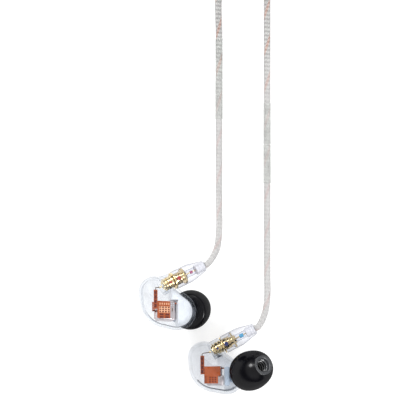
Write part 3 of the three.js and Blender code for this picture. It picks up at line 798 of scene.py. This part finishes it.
STEREO = [
    ("stereo_plug_relief", relief_profile, BLACK, 0.08),
    ("stereo_plug_body", body_profile, BLACK, 0.1),
    ("stereo_plug_insulator", insulator_profile, BLACK, 0.02),
    ("stereo_plug_sleeve", pipe_profile(PIN_RADIUS, ring_bore, BODY_END + 0.1, SLEEVE_END), GOLD, 0.08),
    ("stereo_plug_ring", pipe_profile(PIN_RADIUS, ring_bore, RING_START, RING_START + 2.2), GOLD, 0.08),
    ("stereo_plug_tip", [
        (TIP_START, ring_bore), (TIP_START, 1.6), (TIP_START + 0.8, 1.25), (TIP_START + 1.5, PIN_RADIUS),
        (TIP_START + 2.2, PIN_RADIUS), (PIN_END - 0.3, 0.6), (PIN_END, 0), (TIP_START + 1.3, 0),
        (TIP_START + 1.3, ring_bore),
    ], GOLD, 0.15),
]
for node, profile, material, soften in STEREO:
    made = finish_mesh(node + "_fine", turned(rounded(profile, soften), 64), PLUG, material)
    cord_pieces["main"].append(install(made, node))


# ---------------------------------------------------------------- the monitors
OUTLINE = [
    (-3.2, -9.0, 5.75, -127.3, 27.5),
    (-6.8, -0.6, 5.0, 27.5, 155.8),
    (-4.6, -4.48, 8.5, 155.8, 232.7),
]
WALL = 0.8
SEAM = -0.6
GAP = 0.06
RIM_STEP = 0.3
SIDE_LOW, SIDE_HIGH, RISE = -1.4, 1.0, 3.6
REACH = 4.85
CAVITY_REACH = 3.6
EDGE_POWER = 2.25
COLLAR = (2.85, -4.0, -0.1)
JACK_RADIUS = 1.9
BOSS = (2.5, -2.6, 1.2)
FAR = 40


def outline(inset, per_arc=30):
    """The pebble's outline drawn in by inset."""
    points = []
    for x, y, radius, start, end in OUTLINE:
        count = max(6, round(per_arc * (end - start) / 120))
        for k in range(count):
            a = math.radians(start + (end - start) * k / (count - 1))
            points.append((x + (radius - inset) * math.cos(a), y + (radius - inset) * math.sin(a)))
    return points


def pebble(inset, thinner, reach):
    """A closed pebble: a super-elliptic edge between two nearly flat faces."""
    rings = []
    steps = 14
    for k in range(steps + 1):
        a = math.pi / 2 * (1 - k / steps)
        out, up = math.cos(a) ** (2 / EDGE_POWER), math.sin(a) ** (2 / EDGE_POWER)
        rings.append((inset + reach * (1 - out), SIDE_LOW - (RISE - thinner) * up))
    rings += [(r, SIDE_LOW + SIDE_HIGH - z) for r, z in reversed(rings)]
    bm = bmesh.new()
    loops = []
    for r, z in rings:
        loops.append([bm.verts.new((x, y, z)) for x, y in outline(r)])
    skin(bm, loops)
    for loop in (loops[0], loops[-1]):
        bm.faces.new(loop)
    bmesh.ops.remove_doubles(bm, verts=bm.verts, dist=1e-5)
    return bm


def scratch(bm, matrix=Matrix.Identity(4)):
    """A working object for booleans."""
    return finish_mesh("scratch", bm, matrix, CLEAR)


def slab(low, high):
    """A sharp-edged block to cut with."""
    bm = bmesh.new()
    soft_box(bm, low, high, 0)
    return scratch(bm)


def shell_mesh(inner):
    """One half of the clear shell, in the monitor's own frame."""
    body = scratch(pebble(RIM_STEP if inner else 0.0, 0.0, REACH))
    hollow = scratch(pebble(WALL + (RIM_STEP if inner else 0.0), WALL, CAVITY_REACH))
    boolean(hollow, scratch(turned(rod_profile(*COLLAR), 64)), "DIFFERENCE")
    boolean(body, scratch(turned(rounded(rod_profile(*COLLAR), 0.25), 64)), "UNION")
    if inner:
        boolean(hollow, scratch(turned(rod_profile(*BOSS), 64), ON_NOZZLE), "DIFFERENCE")
        boolean(body, scratch(turned(rounded(rod_profile(*BOSS), 0.3), 64), ON_NOZZLE), "UNION")
    boolean(body, hollow, "DIFFERENCE")
    boolean(body, scratch(turned(rod_profile(JACK_RADIUS + GAP, COLLAR[1] - 1, 20), 64)), "DIFFERENCE")
    if inner:
        seat = turned(rod_profile(1.5 + GAP, BOSS[1] - 2, 20), 64)
        boolean(body, scratch(seat, ON_NOZZLE), "DIFFERENCE")
    low, high = (-FAR, SEAM + GAP) if inner else (SEAM, FAR)
    boolean(body, slab((-FAR, -FAR, low), (FAR, FAR, high)), "DIFFERENCE")
    mesh = body.data
    bpy.data.objects.remove(body)
    return mesh


def from_mesh(mesh):
    """A fresh bmesh copy of a mesh."""
    bm = bmesh.new()
    bm.from_mesh(mesh)
    return bm


def can(low, high, lid_up):
    """A deep-drawn driver can with its lid."""
    bm = bmesh.new()
    soft_box(bm, low, high, 0.45, 4)
    z0, z1 = (high[2] - 0.02, high[2] + 0.07) if lid_up else (low[2] - 0.07, low[2] + 0.02)
    soft_box(bm, (low[0] + 0.3, low[1] + 0.3, z0), (high[0] - 0.3, high[1] - 0.3, z1), 0.04, 2)
    return bm


def pads(low, high, columns, rows, bevel, z0, z1, fill):
    """A grid of small raised pads that each fill part of their cell."""
    bm = bmesh.new()
    for i in range(columns):
        for j in range(rows):
            x = low[0] + (high[0] - low[0]) * (i + 0.5) / columns
            y = low[1] + (high[1] - low[1]) * (j + 0.5) / rows
            w = (high[0] - low[0]) / columns * fill / 2
            h = (high[1] - low[1]) / rows * fill / 2
            soft_box(bm, (x - w, y - h, z0), (x + w, y + h, z1), bevel, 1)
    return bm


TWEETER = ((-5.4, -9.1, -1.9), (-0.4, -6.4, 1.7))
WOOFER = ((-4.9, -12.3, -2.3), (0.4, -9.3, 2.5))
BOOT_BOX = ((0.6, -12.4, -1.9), (2.3, -6.6, 1.8))


def boot():
    """The rubber boot over the drivers' ports, with its spout into the nozzle."""
    bm = bmesh.new()
    soft_box(bm, *BOOT_BOX, 0.5, 4)
    spout = turned(rounded(rod_profile(1.3, -4.9, -3.46), 0.2), 32)
    bmesh.ops.transform(spout, matrix=STACK.inverted() @ ON_NOZZLE, verts=spout.verts)
    mesh = bpy.data.meshes.new("spout")
    spout.to_mesh(mesh)
    spout.free()
    bm.from_mesh(mesh)
    bpy.data.meshes.remove(mesh)
    return bm


def saddle():
    """The pale saddle that fills the front of the outer shell, below the boot."""
    floor, roof, top = -3.9, -0.9, -3.0
    left, shelf_left, shelf = 0.6, -1.5, -6.2
    made = scratch(pebble(WALL + RIM_STEP + GAP, WALL + GAP, CAVITY_REACH))
    room = bmesh.new()
    soft_box(room, (left, -FAR, floor), (FAR, top, roof), 0)
    keep = scratch(room, STACK)
    room = bmesh.new()
    soft_box(room, (shelf_left, shelf, floor), (left + GAP, top, roof), 0)
    boolean(keep, scratch(room, STACK), "UNION")
    boolean(made, keep, "INTERSECT")
    boolean(made, scratch(turned(rod_profile(COLLAR[0] + GAP, COLLAR[1] - GAP, FAR), 64)), "DIFFERENCE")
    boolean(made, scratch(turned(rod_profile(BOSS[0] + GAP, -3.4 - GAP, FAR), 64), ON_NOZZLE), "DIFFERENCE")
    mesh = made.data
    bpy.data.objects.remove(made)
    return mesh


SEAM_BEADS = {"right": (0.98, 0.11), "left": (1.2, 0.2)}
BEAD_FROM, BEAD_SHARE = 0.88, 0.36


def seam_bead(inset, radius):
    """The thin line of glue that shows along the bottom of the shell's seam."""
    bm = bmesh.new()
    rim = outline(inset, 60)
    first = round(BEAD_FROM * len(rim))
    line = [Vector((*rim[(first + k) % len(rim)], SEAM)) for k in range(round(BEAD_SHARE * len(rim)))]
    add_tube(bm, carried_frames(evenly(line, 0.3)), radius, 8, bm.loops.layers.uv.new("lay"))
    return bm


def lead_wire(path, radius):
    """A thin bent wire through the points."""
    bm = bmesh.new()
    frames = carried_frames(evenly(catmull_rom(path, 0.2), 0.25))
    add_tube(bm, frames, radius, 10, bm.loops.layers.uv.new("lay"))
    return bm


def plug_barrel():
    """The plug's turned barrel with flats on its rear flange, and the crimp slots behind it."""
    made = scratch(turned(rounded(PLUG_BARREL, 0.07), 64))
    for low, high in (
        ((3.6, -4, 1.6), (4.3, 4, 4)), ((3.6, -4, -4), (4.3, 4, -1.6)),
        ((2.95, -4, 0.35), (3.6, 4, 0.7)), ((2.95, -4, -0.7), (3.6, 4, -0.35)),
        ((4.35, -4, -0.2), (5, 4, 0.2)), ((4.35, -0.2, -4), (5, 0.2, 4)),
        ((-0.1, -4, -0.2), (0.6, -2.0, 0.2)), ((-0.1, 2.0, -0.2), (0.6, 4, 0.2)),
    ):
        boolean(made, slab(low, high), "DIFFERENCE")
    mesh = made.data
    bpy.data.objects.remove(made)
    return mesh


LEAF, LEAF_GAP = 0.16, 0.12


def flex():
    """The folded polyimide circuit: its leaves, its fold and its tail to the jack."""
    bm = bmesh.new()
    left, right = TWEETER[0][0] - LEAF_GAP, BOOT_BOX[0][0] - LEAF_GAP
    floor, roof = WOOFER[0][2] - LEAF_GAP, WOOFER[1][2] + LEAF_GAP
    for low, high in (
        ((left - LEAF, -11.9, floor - LEAF), (-0.6, -6.6, floor)),
        ((left - LEAF, -9.2, roof), (-0.6, -6.3, roof + LEAF)),
        ((WOOFER[0][0], -11.6, roof), (-1.4, -9.1, roof + LEAF)),
        ((left - LEAF, -9.0, floor - LEAF), (left, -6.9, roof + LEAF)),
        ((-2.0, -7.4, floor - LEAF), (right, -6.9, floor)),
        ((left - 1.3, -9.0, floor - LEAF), (left - LEAF / 2, -3.2, floor)),
    ):
        soft_box(bm, low, high, 0.05, 1)
    return bm


def flex_trims():
    """What is printed and soldered on the circuit, and the driver's plate and port behind it."""
    floor = WOOFER[0][2] - LEAF_GAP - LEAF
    roof = WOOFER[1][2] + LEAF_GAP + LEAF

    def printed(low, high, columns, rows, proud, fill, bevel=0.02):
        return pads(low, high, columns, rows, bevel, floor - proud, floor + 0.01, fill)

    solder = pads((-1.45, -8.2), (-0.25, -7.0), 2, 2, 0.06, floor - 0.16, floor - 0.03, 0.6)
    port = pads((-1.1, -9.8), (-0.7, -8.6), 1, 1, 0.02, floor - 0.1, floor - 0.03, 0.9)
    inner_pads = pads((-4.3, -11.4), (-1.8, -9.4), 3, 3, 0.02, roof - 0.01, roof + 0.05, 0.6)
    rungs = pads((-6.75, -8.8), (-5.85, -3.5), 1, 4, 0.02, floor - 0.05, floor + 0.2, 0.8)
    leads = lead_wire([(-6.2, -3.4, floor - 0.1), (-6.3, -2.9, floor - 0.3), (-5.9, -2.4, -1.4),
                       (-4.9, -2.2, -0.3), (-4.1, -2.05, 0.0)], 0.14)
    return [
        ("flex_lattice", printed((-5.2, -10.2), (-1.6, -8.2), 1, 1, 0.03, 0.98), TRACE_LIGHT, "copper_film"),
        ("flex_cells", printed((-5.2, -10.2), (-1.6, -8.2), 4, 3, 0.055, 0.6), TRACE, "copper_film"),
        ("flex_bars", printed((-5.2, -11.95), (-1.6, -10.35), 2, 2, 0.05, 0.66), TRACE, "copper_film"),
        ("flex_lines", printed((-5.2, -8.1), (-1.6, -6.8), 5, 1, 0.035, 0.5), TRACE_LIGHT, "copper_film"),
        ("driver_plate", printed((-1.5, -12.0), (-0.1, -6.5), 1, 1, 0.07, 0.98, 0.03), STEEL, "steel"),
        ("flex_solder", solder, SOLDER, "steel"),
        ("driver_port", port, LEAD, "steel"),
        ("flex_inner_pads", inner_pads, TRACE, "copper_film"),
        ("flex_rungs", rungs, TRACE, "copper_film"),
        ("flex_leads", leads, LEAD, "steel"),
    ]


# ---- profiles of the turned pieces, as (x, radius)
JACK = [(-3.4, 0.62), (-3.4, 1.4), (-2.9, 1.4), (-2.9, 1.9), (-2.45, 1.9), (-2.4, 1.5), (-2.05, 1.5),
        (-2.0, 1.9), (-1.15, 1.9), (-1.1, 1.68), (-0.85, 1.68), (-0.8, 1.9), (-0.1, 1.9), (-0.1, 1.72),
        (-0.25, 1.6), (-0.75, 1.48), (-2.8, 1.48), (-2.8, 0.62)]
PLUG_BARREL = [
    (-2.4, 0.75), (-2.4, 1.27), (-2.1, 1.42), (-1.6, 1.42), (-1.6, 1.16), (-1.1, 1.16), (-1.1, 1.42),
    (0.1, 1.42), (0.1, 2.62), (0.5, 2.62), (0.55, 1.55), (0.8, 1.55), (0.85, 1.85), (2.1, 1.85),
    (2.15, 1.6), (2.4, 1.6), (2.45, 1.85), (2.8, 1.85), (2.85, 1.35), (3.7, 1.35), (3.7, 2.5), (4.2, 2.5),
    (4.2, 1.2), (4.8, 1.2), (4.8, 0.75),
]
HOUSING = [
    (0.56, 1.91), (0.56, 2.7), (0.76, 2.85), (6.0, 2.85), (7.4, 2.6), (10.3, 1.95), (11.5, 1.7),
    (11.5, 1.14), (5.0, 1.14), (5.0, 1.36), (4.26, 1.36), (4.26, 2.56), (3.64, 2.56), (3.0, 1.91),
]
CONTACT = [(-4.6, 0), (-4.6, 0.3), (-1.5, 0.3), (-1.5, 0.2), (-2.5, 0.2), (-2.5, 0)]
PLUG_PIN = [(-2.2, 0), (-1.9, 0.14), (-0.9, 0.16), (-0.8, 0.18), (8.48, 0.18), (8.48, 0)]
CLAMP = [
    (8.5, 0.24), (8.3, 0.24), (8.3, 1.3), (8.5, 1.55), (9.2, 1.6), (9.4, 1.42), (9.8, 1.42), (10.0, 1.58),
    (10.2, 1.38), (10.6, 1.38), (10.8, 1.52), (11.3, 1.45), (11.3, 1.16), (8.5, 1.16),
]
SNAP = pipe_profile(1.55, 1.21, -1.55, -1.15)
NOZZLE = [(-3.4, 0.95), (-3.4, 1.5), (5.8, 1.5), (6.0, 1.62), (7.4, 1.4), (7.4, 0.95)]
TIP_FROM = 2.1
FOAM_OUTER = [
    (0, 4.5), (0.15, 5.0), (0.7, 5.5), (1.8, 5.85), (3.2, 6.08), (4.6, 6.1), (6.2, 5.95), (8.2, 5.5),
    (9.6, 4.95), (10.6, 4.25), (11.3, 3.6), (11.75, 3.25),
]
FOAM_LIP = [(11.92, 3.1), (11.95, 2.9), (11.85, 2.6), (11.5, 2.35), (11.0, 2.2)]
CORE_OUTER = [
    (0.2, 1.7), (0.2, 2.14), (11.2, 2.14), (11.7, 2.4), (11.97, 2.65), (11.99, 3.0), (12.07, 3.05),
    (12.12, 2.95), (12.12, 2.3), (12.0, 2.15), (11.5, 2.05),
]
CORE_BORE_END = (5.6, 1.68)
CORE_RIBS, RIB_FROM, RIB_PITCH = 4, 11.0, 1.25
RIB = [(0, 2.05), (-0.12, 1.72), (-0.2, 1.68), (-0.34, 1.7), (-0.45, 2.05)]

OUTER_MESH = shell_mesh(inner=False)
INNER_MESH = shell_mesh(inner=True)
PLUG_MESH = plug_barrel()
SADDLE_MESH = saddle()


def foam_profile():
    """The foam's domed side, its raised lip round the mouth, and the step down to its core."""
    dome = catmull_rom([Vector((TIP_FROM + x, r, 0)) for x, r in FOAM_OUTER], 0.35)
    return [(TIP_FROM, 2.2)] + [(p.x, p.y) for p in dome] + [(TIP_FROM + x, r) for x, r in FOAM_LIP]


def core_profile():
    """The tube bonded in the foam, flanged at the mouth and ribbed inside."""
    profile = list(CORE_OUTER)
    for k in range(CORE_RIBS):
        profile += [(RIB_FROM - RIB_PITCH * k + x, r) for x, r in RIB]
    return [(TIP_FROM + x, r) for x, r in profile + [CORE_BORE_END]]


# facing, ink of the dots, band on the wire, slot, and the band's radius, start and end
MARKS = {
    "right": (-1, RED, MAGENTA, "red_mark", (0.45, 6.4, 7.2)),
    "left": (1, BLUE, CYAN, "blue_mark", (0.6, 6.1, 7.4)),
}


def monitor(side):
    """Every piece of one ear piece, with its plug and the end of its cable."""
    matrix = SIDES[side]
    on_nozzle = matrix @ ON_NOZZLE
    stack = matrix @ STACK
    name = side + "_"
    monitor_body = name + "monitor"

    def add(node, bm, place, material, sharp=35):
        return install(finish_mesh(name + node + "_fine", bm, place, material, sharp), name + node)

    def extra(label, bm, place, material, body, slot):
        made = finish_mesh(name + label, bm, place, material)
        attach(made, body)

    add("outer_shell", from_mesh(OUTER_MESH), matrix, CLEAR)
    add("inner_shell", from_mesh(INNER_MESH), matrix, CLEAR)
    add("nozzle", turned(rounded(NOZZLE, 0.12), 48), on_nozzle, CLEAR_HOUSING)
    add("nozzle_filter", turned(rounded(rod_profile(0.89, 6.4, 6.9), 0.1), 40), on_nozzle, MESH_METAL)
    add("tweeter", can(*TWEETER, False), stack, STEEL)
    add("woofer", can(*WOOFER, True), stack, STEEL)
    add("sound_boot", boot(), stack, BOOT)
    extra("saddle", from_mesh(SADDLE_MESH), matrix, FROST, monitor_body, "boot_rubber")
    extra("seam_bead", seam_bead(*SEAM_BEADS[side]), matrix, GLUE, monitor_body, "clear_shell")
    add("flex_circuit", flex(), stack, FILM)
    for label, bm, material, slot in flex_trims():
        extra(label, bm, stack, material, monitor_body, slot)
    add("jack_barrel", turned(rounded(JACK, 0.08), 64), matrix, GOLD)
    add("jack_insulator", turned(rounded(pipe_profile(0.59, 0.34, -3.9, -2.4), 0.05), 40), matrix, WHITE)
    add("jack_contact", turned(rounded(CONTACT, 0.03), 32), matrix, GOLD)
    foam = add("ear_foam", turned(foam_profile(), 96), on_nozzle, FOAM, 60)
    add("ear_core", turned(core_profile(), 48), on_nozzle, CORE, 50)
    add("snap_ring", turned(rounded(SNAP, 0.06), 48), matrix, GOLD)
    add("plug_barrel", from_mesh(PLUG_MESH), matrix, GOLD)
    add("plug_insulator", turned(rounded(pipe_profile(0.69, 0.24, -0.6, 4.6), 0.05), 32), matrix, WHITE)
    add("plug_pin", turned(PLUG_PIN, 24), matrix, GOLD)
    add("connector_housing", turned(rounded(HOUSING, 0.3), 72), matrix, CLEAR_HOUSING)
    facing, ink, band_colour, slot, band_size = MARKS[side]

    def upright(x):
        return matrix @ Matrix.Translation((x, 0, 0)) @ Matrix.Rotation(-facing * math.pi / 2, 4, "Y")

    add("channel_dot", turned(rounded(rod_profile(0.65, 2.55, 2.84), 0.1), 40), upright(1.45), ink)
    shell_mark = turned(rounded(rod_profile(0.4, 2.7, 2.88), 0.06), 32)
    extra("shell_mark", shell_mark, upright(-1.6), ink, monitor_body, slot)
    extra("cable_clamp", turned(rounded(CLAMP, 0.08), 40), matrix, MILKY, "cable", "clear_housing")
    wide, start, end = band_size
    band = turned(rounded(pipe_profile(wide, 0.2, start, end), 0.12), 40)
    extra("core_band", band, matrix, band_colour, "cable", slot)


for side in SIDES:
    monitor(side)

# ---------------------------------------------------------------- floor and light
FLOOR_HALF_M = 1.2
FLOOR_DROP_M = 0.00005
floor_mesh = bpy.data.meshes.new("floor")
corners = [(x * FLOOR_HALF_M, y * FLOOR_HALF_M, 0) for x, y in ((-1, -1), (1, -1), (1, 1), (-1, 1))]
floor_mesh.from_pydata(corners, [], [(0, 1, 2, 3)])
floor = bpy.data.objects.new("floor", floor_mesh)
floor.location.z = -FLOOR_DROP_M
floor_material, floor_nodes, floor_links, floor_shader = new_material("floor")
floor_shader.inputs["Roughness"].default_value = 0.9
floor_shader.inputs["Specular IOR Level"].default_value = 0.1
floor_shader.inputs["Emission Color"].default_value = (1, 1, 1, 1)
floor_shader.inputs["Emission Strength"].default_value = 0.68
paper = noise_node(floor_nodes, floor_links, 40)
floor_links.new(ramp(floor_nodes, floor_links, paper, [(0.0, grey(0.44)), (1.0, grey(0.46))]),
                floor_shader.inputs["Base Color"])
floor_mesh.materials.append(floor_material)
bpy.context.scene.collection.objects.link(floor)

world = bpy.data.worlds.new("studio")
world.use_nodes = True
sky_nodes, sky_links = world.node_tree.nodes, world.node_tree.links
direction = sky_nodes.new("ShaderNodeTexCoord")
split_axes = sky_nodes.new("ShaderNodeSeparateXYZ")
sky_links.new(direction.outputs["Generated"], split_axes.inputs["Vector"])
sky = [(0.0, grey(0.05)), (0.3, grey(0.15)), (0.6, grey(0.95)), (0.85, grey(0.95)), (1.0, grey(0.6))]
sky_links.new(ramp(sky_nodes, sky_links, split_axes.outputs["Z"], sky),
              sky_nodes["Background"].inputs["Color"])
bpy.context.scene.world = world


def softbox(name, place, aim, size, power):
    """A soft rectangular lamp aimed at a point, in metres and watts."""
    data = bpy.data.lights.new(name, "AREA")
    data.shape = "RECTANGLE"
    data.size, data.size_y = size
    data.energy = power
    lamp = bpy.data.objects.new(name, data)
    lamp.location = place
    lamp.rotation_euler = (Vector(aim) - Vector(place)).to_track_quat("-Z", "Y").to_euler()
    bpy.context.scene.collection.objects.link(lamp)


AIM = (0, 0.03, 0)
softbox("key", (-0.45, 0.35, 0.7), AIM, (0.2, 0.2), 4.0)
softbox("fill", (0.5, -0.3, 0.5), AIM, (0.2, 0.16), 2.6)
softbox("back", (0.1, 0.8, 0.5), AIM, (0.4, 0.16), 2.0)

bpy.context.scene.view_settings.view_transform = "Standard"
